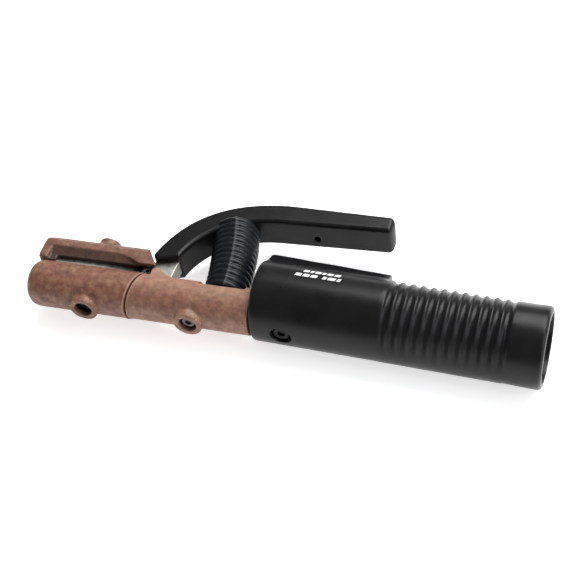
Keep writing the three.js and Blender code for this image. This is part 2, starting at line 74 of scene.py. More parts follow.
# ---- materials ---------------------------------------------------------------------------------
class Nodes:
    """A material's node tree, with short calls for the nodes used here."""

    def __init__(self, name):
        self.material = bpy.data.materials.new(name)
        self.material.use_nodes = True
        self.tree = self.material.node_tree
        self.shader = self.tree.nodes["Principled BSDF"]
        self.place = self.tree.nodes.new("ShaderNodeTexCoord").outputs["Object"]

    def node(self, kind, **values):
        made = self.tree.nodes.new("ShaderNode" + kind)
        for key, value in values.items():
            if hasattr(made, key):
                setattr(made, key, value)
            else:
                made.inputs[key.replace("_", " ").title()].default_value = value
        return made

    def link(self, source, target):
        self.tree.links.new(source, target)

    def noise(self, scale, detail=4.0, roughness=0.55, stretch=(1, 1, 1)):
        mapping = self.node("Mapping")
        mapping.inputs["Scale"].default_value = stretch
        self.link(self.place, mapping.inputs["Vector"])
        made = self.node("TexNoise", scale=scale, detail=detail, roughness=roughness)
        self.link(mapping.outputs["Vector"], made.inputs["Vector"])
        return made.outputs["Fac"]

    def painted(self, name):
        """The value that the mesh carries for each vertex under this name."""
        return self.node("Attribute", attribute_name=name).outputs["Fac"]

    def ramp(self, source, stops):
        made = self.node("ValToRGB")
        elements = made.color_ramp.elements
        while len(elements) < len(stops):
            elements.new(0.5)
        for element, (position, colour) in zip(elements, stops):
            element.position = position
            element.color = (*colour, 1)
        self.link(source, made.inputs["Fac"])
        return made.outputs["Color"]

    def mix(self, factor, first, second, mode="MIX"):
        made = self.node("MixRGB", blend_type=mode)
        for socket, value in zip(made.inputs, (factor, first, second)):
            if isinstance(value, bpy.types.NodeSocket):
                self.link(value, socket)
            else:
                socket.default_value = value if socket.name == "Fac" else (*value, 1)
        return made.outputs["Color"]

    def remap(self, source, low, high, to_low, to_high):
        made = self.node("MapRange")
        for key, value in zip(("From Min", "From Max", "To Min", "To Max"), (low, high, to_low, to_high)):
            made.inputs[key].default_value = value
        self.link(source, made.inputs["Value"])
        return made.outputs["Result"]

    def edges(self, start, end):
        """1 on worn convex edges, 0 elsewhere."""
        return self.remap(self.node("NewGeometry").outputs["Pointiness"], start, end, 0, 1)

    def bump(self, *layers):
        normal = None
        for source, strength, distance in layers:
            made = self.node("Bump")
            made.inputs["Strength"].default_value = strength
            made.inputs["Distance"].default_value = distance * MM
            self.link(source, made.inputs["Height"])
            if normal:
                self.link(normal, made.inputs["Normal"])
            normal = made.outputs["Normal"]
        self.link(normal, self.shader.inputs["Normal"])


def black_moulding():
    n = Nodes("black_moulding")
    cloud = n.noise(60, 3)
    grain = n.noise(2600, 2)
    colour = n.ramp(cloud, [(0.3, (0.0035, 0.0035, 0.0040)), (0.7, (0.0075, 0.0075, 0.0080))])
    colour = n.mix(n.edges(0.52, 0.60), colour, (0.05, 0.05, 0.053))
    n.link(colour, n.shader.inputs["Base Color"])
    n.link(n.remap(n.noise(180, 5), 0.3, 0.7, 0.27, 0.38), n.shader.inputs["Roughness"])
    n.shader.inputs["Specular IOR Level"].default_value = 0.17
    n.bump((grain, 0.35, 0.05), (n.noise(140, 2), 0.25, 0.12))
    return n.material


def brown_moulding():
    n = Nodes("brown_moulding")
    blotch = n.noise(330, 5, 0.62)
    colour = n.ramp(blotch, [
        (0.30, (0.090, 0.033, 0.023)),
        (0.48, (0.160, 0.071, 0.045)),
        (0.70, (0.255, 0.142, 0.094)),
    ])
    tint = n.ramp(n.noise(130, 3), [(0.38, (1.0, 0.72, 0.74)), (0.62, (0.98, 0.98, 0.74))])
    colour = n.mix(0.55, colour, tint, "MULTIPLY")
    fleck = n.ramp(n.noise(1500, 2), [(0.62, (0, 0, 0)), (0.74, (1, 1, 1))])
    colour = n.mix(n.remap(fleck, 0, 1, 0, 0.4), colour, (0.26, 0.18, 0.13))
    colour = n.mix(n.edges(0.53, 0.62), colour, (0.36, 0.20, 0.14))
    # painted light: paler brown as a highlight on the seam lips and on the body's upper side, with an
    # even lightening of the body's tone
    colour = n.mix(n.painted("worn"), colour, (0.40, 0.235, 0.165))
    # painted shade: darker brown in the seam gap, in the boss holes, on the tip's lower side and front
    # end, and on the upper tip's sloping side and recess, over an even darker tone of the upper tip
    colour = n.mix(n.painted("soot"), colour, (0.012, 0.007, 0.006))
    n.link(colour, n.shader.inputs["Base Color"])
    n.link(n.remap(blotch, 0.3, 0.7, 0.62, 0.42), n.shader.inputs["Roughness"])
    n.shader.inputs["Specular IOR Level"].default_value = 0.45
    n.bump((n.noise(1900, 3), 0.3, 0.06), (blotch, 0.35, 0.2))
    return n.material


def casting():
    n = Nodes("casting")
    cloud = n.noise(260, 5, 0.6)
    colour = n.ramp(cloud, [
        (0.3, (0.16, 0.155, 0.13)),
        (0.5, (0.30, 0.295, 0.265)),
        (0.7, (0.46, 0.455, 0.42)),
    ])
    colour = n.mix(n.edges(0.53, 0.6), colour, (0.62, 0.61, 0.57))
    # painted shade on the jaws, darker towards the hinge
    colour = n.mix(n.painted("soot"), colour, (0.010, 0.010, 0.008))
    n.link(colour, n.shader.inputs["Base Color"])
    n.shader.inputs["Metallic"].default_value = 0.75
    n.link(n.remap(cloud, 0.3, 0.7, 0.62, 0.42), n.shader.inputs["Roughness"])
    n.bump((n.noise(1400, 4), 0.5, 0.08), (cloud, 0.3, 0.15))
    return n.material


def boot_rubber():
    n = Nodes("boot_rubber")
    cloud = n.noise(220, 4)
    colour = n.ramp(cloud, [(0.3, (0.0035, 0.0045, 0.0055)), (0.7, (0.008, 0.009, 0.011))])
    colour = n.mix(n.painted("seam"), colour, (0.085, 0.088, 0.092))
    n.link(colour, n.shader.inputs["Base Color"])
    n.shader.inputs["Specular IOR Level"].default_value = 0.19
    n.link(n.remap(cloud, 0.3, 0.7, 0.26, 0.38), n.shader.inputs["Roughness"])
    n.bump((n.noise(900, 3), 0.15, 0.04), (cloud, 0.3, 0.12))
    return n.material


def metal(name, dark, light, roughness, stretch=(1, 1, 1)):
    n = Nodes(name)
    brushed = n.noise(700, 4, 0.6, stretch)
    n.link(n.ramp(brushed, [(0.3, dark), (0.7, light)]), n.shader.inputs["Base Color"])
    n.shader.inputs["Metallic"].default_value = 1
    n.link(n.remap(brushed, 0.3, 0.7, roughness - 0.08, roughness + 0.1), n.shader.inputs["Roughness"])
    n.bump((brushed, 0.25, 0.03))
    return n.material


def print_white():
    n = Nodes("print_white")
    colour = n.ramp(n.noise(1800, 3), [(0.3, (0.5, 0.5, 0.5)), (0.55, (0.8, 0.8, 0.79))])
    n.link(colour, n.shader.inputs["Base Color"])
    n.link(n.remap(n.noise(900, 2), 0.3, 0.7, 0.5, 0.7), n.shader.inputs["Roughness"])
    n.bump((n.noise(2500, 2), 0.2, 0.02))
    return n.material


MATERIALS = {
    "black_moulding": black_moulding(),
    "brown_moulding": brown_moulding(),
    "casting": casting(),
    "boot_rubber": boot_rubber(),
    "steel": metal("steel", (0.05, 0.05, 0.050), (0.16, 0.155, 0.15), 0.42),
    "spring_steel": metal("spring_steel", (0.22, 0.22, 0.23), (0.42, 0.42, 0.42), 0.35, (1, 3, 1)),
    "dark_screw": metal("dark_screw", (0.008, 0.008, 0.008), (0.03, 0.03, 0.03), 0.5),
    "print": print_white(),
}
SLOTS = {part["node"]: part["material_slot"] for part in frame["record"]["subparts"]}


# ---- mesh helpers ------------------------------------------------------------------------------
ROUND = 48  # sides of screws and of the holes for them
FILLET_CORE, FILLET_PASSES = 0.4, 26  # fully smoothed half width beside a boss, and smoothing passes


def placed(name, mesh, where, slot, smooth_angle=None):
    """An object of this mesh, moved from its local frame in millimetres to the row frame in metres."""
    mesh.transform(where)
    mesh.materials.clear()
    mesh.materials.append(MATERIALS[slot])
    made = bpy.data.objects.new(name, mesh)
    scene.collection.objects.link(made)
    for polygon in mesh.polygons:
        polygon.use_smooth = True
    if smooth_angle:
        mesh.set_sharp_from_angle(angle=math.radians(smooth_angle))
    return made


def rings_mesh(name, rings, loop=False):
    """A closed skin through equal rings of points: capped ends or, with loop, the last ring joins
    the first."""
    count, sides = len(rings), len(rings[0])
    points = [tuple(p) for ring in rings for p in ring]
    faces = []
    for i in range(count if loop else count - 1):
        a, b = i * sides, (i + 1) % count * sides
        for k in range(sides):
            m = (k + 1) % sides
            faces.append((a + k, a + m, b + m, b + k))
    if not loop:
        faces.append(tuple(range(sides)))
        faces.append(tuple(range((count - 1) * sides, count * sides)))
    mesh = bpy.data.meshes.new(name)
    mesh.from_pydata(points, [], faces)
    tidy = bmesh.new()
    tidy.from_mesh(mesh)
    bmesh.ops.recalc_face_normals(tidy, faces=tidy.faces)
    tidy.to_mesh(mesh)
    tidy.free()
    return mesh


def applied(made, *modifiers):
    """Adds the modifiers, keeps their result as the object's own mesh, and removes them."""
    for kind, settings in modifiers:
        modifier = made.modifiers.new(kind, kind)
        for key, value in settings.items():
            setattr(modifier, key, value)
    depsgraph = bpy.context.evaluated_depsgraph_get()
    result = bpy.data.meshes.new_from_object(made.evaluated_get(depsgraph))
    made.modifiers.clear()
    old = made.data
    made.data = result
    bpy.data.meshes.remove(old)


def smoothstep(low, high, value):
    t = np.clip((value - low) / (high - low), 0, 1)
    return t * t * (3 - 2 * t)


def head_points(made):
    to_head = HEAD_FRAME.inverted()
    return np.array([to_head @ v.co for v in made.data.vertices])


def move_head_points(made, points):
    for vertex, point in zip(made.data.vertices, points):
        vertex.co = HEAD_FRAME @ Vector(point)


def moulded(node, name, voxel, rounding, fillets=()):
    """A CAD piece with rounded edges, as moulded or cast: remeshed finely, then eased.
    Each fillet is the foot of a boss along v: (u, lowest v, highest v, radius, width of the blend)."""
    mesh = frame["nodes"][node].data.copy()
    weld = bmesh.new()
    weld.from_mesh(mesh)
    bmesh.ops.remove_doubles(weld, verts=weld.verts, dist=1e-6)
    weld.to_mesh(mesh)
    weld.free()
    made = placed(name, mesh, Matrix.Identity(4), SLOTS[node])
    applied(made, ("REMESH", {"mode": "VOXEL", "voxel_size": voxel * MM}),
            ("SMOOTH", {"factor": 0.5, "iterations": rounding}))
    if fillets:
        soften(made, fillets)
    for polygon in made.data.polygons:
        polygon.use_smooth = True
    return made


def soften(made, fillets):
    """Smooth the mesh around the given boss feet only."""
    group = made.vertex_groups.new(name="fillet")
    points = head_points(made)
    weight = np.zeros(len(points))
    for u, v_low, v_high, radius, width in fillets:
        reach = np.hypot(points[:, 0] - u, points[:, 2]) - radius
        inside = (points[:, 1] > v_low) & (points[:, 1] < v_high)
        beyond_core = np.maximum(np.abs(reach) - FILLET_CORE, 0)
        near = np.exp(-(beyond_core / width) ** 2) * inside
        weight = np.maximum(weight, near)
    for i in np.nonzero(weight > 0.02)[0]:
        group.add([int(i)], float(weight[i]), "REPLACE")
    applied(made, ("SMOOTH", {"factor": 0.5, "iterations": FILLET_PASSES, "vertex_group": "fillet"}))
    made.vertex_groups.clear()


def stand_for(made, node, body):
    """Show this piece in place of the CAD node, moving with the body."""
    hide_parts(node)
    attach(made, body)


# ---- camera ------------------------------------------------------------------------------------
# the camera's own axes and place in the handle frame
RIGHT = Vector((0.94711, 0.29827, -0.11843))
UP = Vector((-0.15560, 0.74958, 0.64338))
BACKWARD = Vector((0.28067, -0.59092, 0.75634))
EYE = Vector((36.1, -301.1, 396.7))
camera = bpy.data.objects.new("camera", bpy.data.cameras.new("camera"))
scene.collection.objects.link(camera)
facing = Matrix((RIGHT, UP, BACKWARD)).transposed().to_4x4()
camera.matrix_world = Matrix.Translation(HANDLE_FRAME @ EYE) @ facing
camera.data.sensor_width = 36
camera.data.lens = 76.875
camera.data.clip_start = 0.01
scene.camera = camera

# ---- handle: ribbed tube with a flat-topped rail beside the lever ------------------------------
HANDLE_REAR = HANDLE_FRONT + (handle_high[0] - handle_low[0]) / MM
RIB_R, GROOVE_R, COLLAR_R, BORE_R = 17.0, 16.05, 16.8, 14.3
FIRST_RIB, LAST_RIB, RIBS = -60.9, -17.6, 11
RIB_PITCH = (LAST_RIB - FIRST_RIB) / (RIBS - 1)
RIBS_FROM, RIBS_TO = FIRST_RIB - RIB_PITCH, LAST_RIB + RIB_PITCH
CREST_SHARPNESS = 1.7
FADE_IN_NEAR, FADE_IN_FAR = (-0.05, 0.5), (1.3, 1.8)  # angles between which the ribs appear
BODY_TAPER = 0.15  # how much smaller the smooth part's radius gets from the front to the ribs
COLLAR_FLARE, COLLAR_LENGTH = 0.27, 13
RAIL_REAR, RAIL_TOP_FRONT, RAIL_TOP_REAR = -67.6, 21.8, 19.1
FLANK_REACH, FLANK_SLOPE = 18.5, 0.602  # the rail's sides lie where z + slope * y = reach
RAIL_HALF_ANGLE, RAIL_EDGE_BLEND, RAIL_FOOT_BLEND = 0.95, 0.5, 1.3
FRONT_LEAN, LEAN_FROM = 0.036, -100  # the front face is square to the head, which is tilted
FRONT_EDGE, REAR_EDGE = 1.5, 1.8  # radii of the rounded ends
FRONT_WALL, SHANK_HOLE_R = 6, 7.4
SIDES = 144


def blend_max(a, b, width):
    h = np.clip(0.5 + 0.5 * (a - b) / width, 0, 1)
    return b * (1 - h) + a * h + width * h * (1 - h)


def blend_min(a, b, width):
    return -blend_max(-a, -b, width)


def handle_radius(x, around):
    """Outer radius at station x, for angles measured from -Y and positive towards +Z."""
    if x < RIBS_FROM:
        share = (x - HANDLE_FRONT) / (RIBS_FROM - HANDLE_FRONT)
        radius = np.full_like(around, HANDLE_R - BODY_TAPER * share)
    elif x > RIBS_TO:
        radius = np.full_like(around, COLLAR_R + COLLAR_FLARE * (x - RIBS_TO) / COLLAR_LENGTH)
    else:
        crest = 0.5 + 0.5 * math.cos(2 * math.pi * (x - FIRST_RIB) / RIB_PITCH)
        depth = (RIB_R - GROOVE_R) * (1 - crest ** CREST_SHARPNESS)
        ribbed = np.maximum(smoothstep(*FADE_IN_NEAR, around), smoothstep(*FADE_IN_FAR, -around))
        radius = (COLLAR_R if x > LAST_RIB + RIB_PITCH / 2 else RIB_R) - depth * ribbed
    if x < RAIL_REAR:
        share = (x - HANDLE_FRONT) / (RAIL_REAR - HANDLE_FRONT)
        top = RAIL_TOP_FRONT + (RAIL_TOP_REAR - RAIL_TOP_FRONT) * share
        off = np.pi - np.abs(around)
        flat = top / np.maximum(np.cos(off), 0.2)
        flank = FLANK_REACH / (np.sin(off) + FLANK_SLOPE * np.maximum(np.cos(off), 0))
        rail = np.where(off < RAIL_HALF_ANGLE, blend_min(flat, flank, RAIL_EDGE_BLEND), 0)
        radius = blend_max(radius, rail, RAIL_FOOT_BLEND)
    return radius


def handle_outline(around):
    """(x, radii) of each ring: front face, outside, rear edge, then back through the bore."""
    stations = list(np.linspace(HANDLE_FRONT + FRONT_EDGE, RAIL_REAR - 0.01, 22))
    stations += [RAIL_REAR + 0.12, *np.linspace(RIBS_FROM, RIBS_TO, (RIBS + 1) * 14 + 1)]
    stations += list(np.linspace(RIBS_TO + 0.3, HANDLE_REAR - FRONT_EDGE, 8))
    quarter_turns = [step / 5 * math.pi / 2 for step in range(1, 6)]
    front = handle_radius(HANDLE_FRONT + 0.2, around)
    insets = (HANDLE_R - SHANK_HOLE_R, 6.0, FRONT_EDGE + 0.3)
    outline = [(HANDLE_FRONT, front - inset) for inset in insets]
    for turn in quarter_turns:
        x = HANDLE_FRONT + FRONT_EDGE * (1 - math.cos(turn))
        outline.append((x, handle_radius(x + 0.2, around) - FRONT_EDGE * (1 - math.sin(turn))))
    outline += [(x, handle_radius(x, around)) for x in stations[1:]]
    rear = handle_radius(HANDLE_REAR, around)
    for turn in quarter_turns:
        x = HANDLE_REAR - REAR_EDGE * (1 - math.sin(turn))
        outline.append((x, rear - REAR_EDGE * (1 - math.cos(turn))))
    wall = HANDLE_FRONT + FRONT_WALL
    bore = [
        (HANDLE_REAR, BORE_R + 0.5), (HANDLE_REAR - 0.15, BORE_R + 0.12), (HANDLE_REAR - 0.6, BORE_R),
        (HANDLE_REAR - 40, BORE_R), (wall + 1.5, BORE_R), (wall + 0.3, BORE_R - 0.4),
        (wall, BORE_R - 1.5), (wall, SHANK_HOLE_R + 0.2), (wall - 0.3, SHANK_HOLE_R),
    ]
    return outline + [(x, np.full(SIDES, radius)) for x, radius in bore]


def build_handle():
    around = np.linspace(-np.pi, np.pi, SIDES, endpoint=False)
    rings = []
    for x, r in handle_outline(around):
        y = -r * np.cos(around)
        lean = FRONT_LEAN * y * np.clip((LEAN_FROM - x) / (LEAN_FROM - HANDLE_FRONT), 0, 1)
        rings.append(np.stack([x - lean, y, r * np.sin(around)], 1))
    mesh = rings_mesh("handle_tube", rings, loop=True)
    return placed("handle_tube", mesh, HANDLE_FRAME, "black_moulding")


def cut_well(made, u):
    """The screw well on the side away from the lever, with a rounded mouth."""
    around = np.linspace(0, 2 * np.pi, ROUND, endpoint=False)
    profile = [(4.2, -8.2), (4.2, -15.9), (4.35, -16.6), (4.9, -17.6), (5.6, -19.0), (5.6, -30)]
    rings = []
    for r, y in profile:
        level = np.full(ROUND, y + HEAD_DROP)
        rings.append(np.stack([u + r * np.cos(around), level, r * np.sin(around)], 1))
    cutter = placed("cutter", rings_mesh("cutter", rings), HEAD_FRAME, "black_moulding")
    applied(made, ("BOOLEAN", {"operation": "DIFFERENCE", "object": cutter, "solver": "EXACT"}))
    bpy.data.objects.remove(cutter)
    made.data.set_sharp_from_angle(angle=math.radians(40))


HANDLE_SCREW_U = 14.2
handle_tube = build_handle()
cut_well(handle_tube, HANDLE_SCREW_U)
stand_for(handle_tube, "handle", "body")

# ---- brown insulators, castings and lever ------------------------------------------------------
TIP_BOSS_U, BODY_BOSS_U, UPPER_BOSS_U = -74.5, -26.5, -75.3
BOSS_OUT, BOSS_HOLE_R, BOSS_FOOT_R = 11.6, 4.0, 6.6
UPPER_BOSS_TOP, UPPER_HOLE_R, UPPER_FOOT_R = 26.0, 3.1, 5.5
VOXEL, EASING = 0.34, 4
TIP_FOOT = (TIP_BOSS_U, -10.8, -5.0, BOSS_FOOT_R, 1.3)
BODY_FOOT = (BODY_BOSS_U, -10.6, -5.0, BOSS_FOOT_R, 1.3)
UPPER_FOOT = (UPPER_BOSS_U, 20.5, 25.2, UPPER_FOOT_R, 1.2)
tip_moulding = moulded("lower_tip_insulator", "lower_tip_moulding", VOXEL, EASING, [TIP_FOOT])
body_moulding = moulded("body_insulator", "body_moulding", VOXEL, EASING, [BODY_FOOT])
upper_moulding = moulded("upper_tip_insulator", "upper_tip_moulding", VOXEL, EASING, [UPPER_FOOT])
jaw_casting = moulded("body_casting", "lower_jaw_casting", 0.36, 2)
arm_casting = moulded("lever_casting", "upper_jaw_casting", VOXEL, 2)
lever_moulding = moulded("lever_insulator", "lever_moulding", 0.4, 3)

# the slanted joint of the two lower mouldings, at u + lean * v, and the raised lips beside it
SEAM_U, SEAM_LEAN = -53.1, 4.1 / 17.6
LIP_OFF, LIP_WIDTH, LIP_HEIGHT, LIP_FROM_R = 0.75, 0.35, 0.22, 9.2
TIP_SHADE_FROM, TIP_SHADE_FULL = -98.5, -102.8  # painted shade: the tip's front end drawn darker
# the upper tip's sloping lower side: its top, front and the skirt's slanted front edge behind it
SLOPE_TOP, SLOPE_FRONT, SKIRT_U, SKIRT_V, SKIRT_LEAN = 15.6, -97.4, -55.7, 11.6, 2.3
RECESS_TOP, RECESS_HALF = 12.3, 7.3
JAW_SHADE_FROM, JAW_SHADE_FULL = -78, -57  # painted shade on the jaws, darker towards the hinge


def tint(made, **layers):
    """Per-vertex values, read by the material's attribute nodes."""
    for name, values in layers.items():
        layer = made.data.attributes.new(name, "FLOAT", "POINT")
        layer.data.foreach_set("value", values.astype(np.float32))


def raise_seam_lips(made):
    """A small raised lip beside the slanted joint. Returns the painted highlight on the lips and the
    painted shade in the gap.
    """
    points = head_points(made)
    off = np.abs(points[:, 0] - SEAM_U - SEAM_LEAN * points[:, 1])
    radius = np.hypot(points[:, 1], points[:, 2])
    lip = np.exp(-((off - LIP_OFF) / LIP_WIDTH) ** 2) * (radius > LIP_FROM_R)
    push = LIP_HEIGHT * lip / np.maximum(radius, 1)
    points[:, 1] += points[:, 1] * push
    points[:, 2] += points[:, 2] * push
    move_head_points(made, points)
    return 0.55 * lip, 0.85 * (1 - smoothstep(0.22, 0.46, off))


def inside_hole(points, u, hole_r, depth):
    """Painted shade inside a boss's hole, darker from its mouth down."""
    near = np.hypot(points[:, 0] - u, points[:, 2]) < hole_r + 0.35
    return near * smoothstep(0.7, 2.6, depth)


def round_end(made, radius):
    """Round the edges of the grip's rear end."""
    points = head_points(made)
    end = points[:, 0].max()
    cap = points[points[:, 0] > end - 1]
    turn = np.clip((points[:, 0] - end + radius) / radius, 0, 1)
    pull = radius * (1 - np.sqrt(1 - turn * turn))
    for k in (1, 2):
        low, high = cap[:, k].min(), cap[:, k].max()
        points[:, k] += ((low + high) / 2 - points[:, k]) * pull / ((high - low) / 2)
    move_head_points(made, points)


def shade_lower_moulding(made, boss_u):
    worn, soot = raise_seam_lips(made)
    points = head_points(made)
    u, v, z = points.T
    across = np.maximum(np.hypot(v, z), 1)
    upper_side = smoothstep(0.1, 1.0, (0.9 * v + 0.43 * z) / across)
    lower_side = smoothstep(0.3, 1.0, (-0.78 * v - 0.62 * z) / across)
    # painted shade: the tip darker on its lower side and at its front end
    if made is tip_moulding:
        soot = np.maximum(soot, 0.24 * np.maximum(lower_side, smoothstep(TIP_SHADE_FROM, TIP_SHADE_FULL, u)))
    else:
        # painted light: the body paler on its upper side, over an even lightening of its tone
        worn = np.maximum(worn, 0.12 + 0.3 * upper_side)
    hole = inside_hole(points, boss_u, BOSS_HOLE_R, v + BOSS_OUT)
    tint(made, worn=worn, soot=np.maximum(soot, hole))


def shade_upper_moulding(made):
    points = head_points(made)
    u, v, z = points.T
    # painted shade: the sloping lower side darker and its recess darker still, over an even darker tone
    # of the whole piece
    slope = (v < SLOPE_TOP) & (u > SLOPE_FRONT) & (u < SKIRT_U - SKIRT_LEAN * (v - SKIRT_V))
    recess = slope & (np.abs(z) < RECESS_HALF) & (v < RECESS_TOP)
    soot = np.maximum(0.8 * recess, 0.45 * slope + 0.22)
    hole = inside_hole(points, UPPER_BOSS_U, UPPER_HOLE_R, UPPER_BOSS_TOP - v)
    tint(made, soot=np.maximum(soot, hole), worn=np.zeros(len(points)))


round_end(lever_moulding, 2.6)
shade_lower_moulding(tip_moulding, TIP_BOSS_U)
shade_lower_moulding(body_moulding, BODY_BOSS_U)
shade_upper_moulding(upper_moulding)
# painted shade on both jaws, darker towards the hinge
jaw_u = head_points(jaw_casting)[:, 0]
tint(jaw_casting, soot=0.9 * smoothstep(JAW_SHADE_FROM, JAW_SHADE_FULL, jaw_u) * (jaw_u < -44))
arm_u = head_points(arm_casting)[:, 0]
tint(arm_casting, soot=0.9 * smoothstep(JAW_SHADE_FROM, JAW_SHADE_FULL, arm_u) * (1 - smoothstep(-52, -47, arm_u)))
for piece, node, body in (
    (tip_moulding, "lower_tip_insulator", "body"),
    (body_moulding, "body_insulator", "body"),
    (upper_moulding, "upper_tip_insulator", "lever"),
    (jaw_casting, "body_casting", "body"),
    (arm_casting, "lever_casting", "lever"),
    (lever_moulding, "lever_insulator", "lever"),
):
    stand_for(piece, node, body)

# ---- spring and its ribbed boot ----------------------------------------------------------------
# both follow one curve from the seat on the body to the lever, with MIDDLE as its control point
SEAT, MIDDLE, TOP = Vector((-15.2, 4.9, 0)), Vector((-15.2, 26, 0)), Vector((-19.8, 44, 0))
BOOT_CREST, BOOT_VALLEY, BOOT_BORE, BOOT_RIBS = 9.6, 8.7, 8.1, 13
BOOT_FROM, BOOT_TO, BOOT_SIDES = 0.012, 0.985, 96
BOOT_WIDER, BOOT_SHIFT, BORE_SHIFT = 1.0, -1.5, -0.7  # growth and sideways lean towards the lever
RINGS_PER_RIB = 8
MOULD_SEAM = math.radians(8)  # the mould seam's angle from +Z, towards the handle's rear
SPRING_TURNS, WIRE_R, COIL_R = 7.5, 0.9, 6.4


def spring_line(s):
    """Point, direction and sideways vector on the curved line from the seat to the lever."""
    point = SEAT * (1 - s) ** 2 + MIDDLE * 2 * s * (1 - s) + TOP * s * s
    along = ((MIDDLE - SEAT) * (1 - s) + (TOP - MIDDLE) * s).normalized()
    return point, along, Vector((along.y, -along.x, 0))


def around_line(s, radii, angles, shift):
    point, _, across = spring_line(s)
    centre = point + across * shift
    ring = []
    for r, a in zip(radii, angles):
        ring.append(centre + across * (r * math.cos(a)) + Vector((0, 0, r * math.sin(a))))
    return ring


def build_boot():
    angles = np.linspace(0, 2 * np.pi, BOOT_SIDES, endpoint=False)
    off = np.abs((angles - (np.pi / 2 - MOULD_SEAM) + np.pi) % (2 * np.pi) - np.pi)
    seam = np.exp(-(off / 0.04) ** 2)
    bore = np.full(BOOT_SIDES, BOOT_BORE)
    steps = BOOT_RIBS * RINGS_PER_RIB
    outside, inside = [], []
    for i in range(steps + 1):
        share = i / steps
        s = BOOT_FROM + (BOOT_TO - BOOT_FROM) * share
        bulge = abs(math.sin(math.pi * share * BOOT_RIBS)) ** 0.75
        radii = BOOT_VALLEY + BOOT_WIDER * share + (BOOT_CREST - BOOT_VALLEY) * bulge
        radii = radii + seam * (0.7 - 0.5 * bulge)
        outside.append(around_line(s, radii, angles, BOOT_SHIFT * share))
        if i % (RINGS_PER_RIB // 2) == 0:
            inside.append(around_line(s, bore, angles, BORE_SHIFT * share))
    mesh = rings_mesh("boot_ribbed", outside + inside[::-1], loop=True)
    light = np.concatenate([np.tile(0.5 * seam, len(outside)), np.zeros(BOOT_SIDES * len(inside))])
    layer = mesh.attributes.new("seam", "FLOAT", "POINT")
    layer.data.foreach_set("value", light.astype(np.float32))
    return placed("boot_ribbed", mesh, HEAD_FRAME, "boot_rubber")


def build_spring():
    """A coil whose end turns lie close together."""
    rings = []
    steps = int(SPRING_TURNS * 30)
    for i in range(steps + 1):
        turned = SPRING_TURNS * i / steps
        end_turns = min(turned, 1) + max(turned - SPRING_TURNS + 1, 0)
        share = 0.05 * end_turns + 0.9 * np.clip((turned - 1) / (SPRING_TURNS - 2), 0, 1)
        angle = 2 * math.pi * turned
        point, along, across = spring_line(0.06 + 0.72 * share)
        out = across * math.cos(angle) + Vector((0, 0, math.sin(angle)))
        centre = point + out * COIL_R
        rings.append([centre + out * (WIRE_R * math.cos(a)) + along * (WIRE_R * math.sin(a))
                      for a in np.linspace(0, 2 * np.pi, 12, endpoint=False)])
    return placed("coil_spring", rings_mesh("coil_spring", rings), HEAD_FRAME, "spring_steel", 50)


boot = build_boot()
spring = build_spring()
for piece, node in ((boot, "spring_boot"), (spring, "return_spring")):
    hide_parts(node)
    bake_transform(piece)


# ---- screws and the hinge's roll pin -----------------------------------------------------------
def hexagon(angles):
    """Radii of a hexagon whose corners lie at 1."""
    return math.cos(math.pi / 6) / np.cos((angles + np.pi / 6) % (np.pi / 3) - np.pi / 6)


def turned_mesh(name, profile, angles, u, z=0.0):
    """A skin through (radii, v) rings round the line u, z, along v."""
    rings = []
    for radii, v in profile:
        level = np.full(len(angles), v)
        rings.append(np.stack([u + radii * np.cos(angles), level, z + radii * np.sin(angles)], 1))
    return rings_mesh(name, rings)


def build_screw(name, node, u, level, side, length, head_r=2.9, head_height=1.9, hex_r=1.6):
    """A socket-head screw along v. From `level` the shank runs towards `side` (1 or -1), and the
    head lies the other way."""
    angles = np.linspace(0, 2 * np.pi, ROUND, endpoint=False)
    plain = np.ones(ROUND)
    socket = hexagon(angles)
    chamfer, shank_r = 0.25, 1.95
    profile = [
        (plain * 0.6, length), (plain * (shank_r - 0.5), length), (plain * shank_r, length - 0.5),
        (plain * shank_r, 0.05), (plain * (head_r - 0.1), 0), (plain * head_r, -0.1),
        (plain * head_r, chamfer - head_height), (plain * (head_r - chamfer), -head_height),
        (plain * 0.35 * head_r + socket * hex_r * 0.62, -head_height),
        (socket * (hex_r + 0.12), -head_height + 0.02), (socket * hex_r, -head_height + 0.15),
        (socket * hex_r, -head_height + 1.15), (socket * hex_r * 0.6, -head_height + 1.3),
        (socket * 0.1, -head_height + 1.45),
    ]
    rows = [(radii, level + side * height) for radii, height in profile]
    return placed(name, turned_mesh(name, rows, angles, u), HEAD_FRAME, SLOTS[node], 35)


def build_grub(name, node, u, socket_end, side, length, r, z=0.0):
    """A headless set screw along v, with thread grooves and its hex socket at `socket_end`.
    `side` is the way from its point to its socket."""
    angles = np.linspace(0, 2 * np.pi, 36, endpoint=False)
    plain = np.ones(36)
    socket = hexagon(angles)
    turns = int(length / 0.8)
    pitch = (length - 0.6) / turns
    profile = [(plain * 0.3 * r, 0), (plain * 0.7 * r, 0)]
    for k in range(turns):
        start = 0.3 + pitch * k
        profile += [(plain * 0.88 * r, start), (plain * 0.99 * r, start + pitch / 2)]
    profile += [
        (plain * 0.88 * r, length - 0.3), (plain * 0.75 * r, length), (socket * 0.55 * r, length),
        (socket * 0.52 * r, length - 0.1), (socket * 0.5 * r, length - 1.5),
        (socket * 0.1 * r, length - 1.8),
    ]
    point = socket_end - side * length
    rows = [(radii, point + side * height) for radii, height in profile]
    return placed(name, turned_mesh(name, rows, angles, u, z), HEAD_FRAME, SLOTS[node], 35)


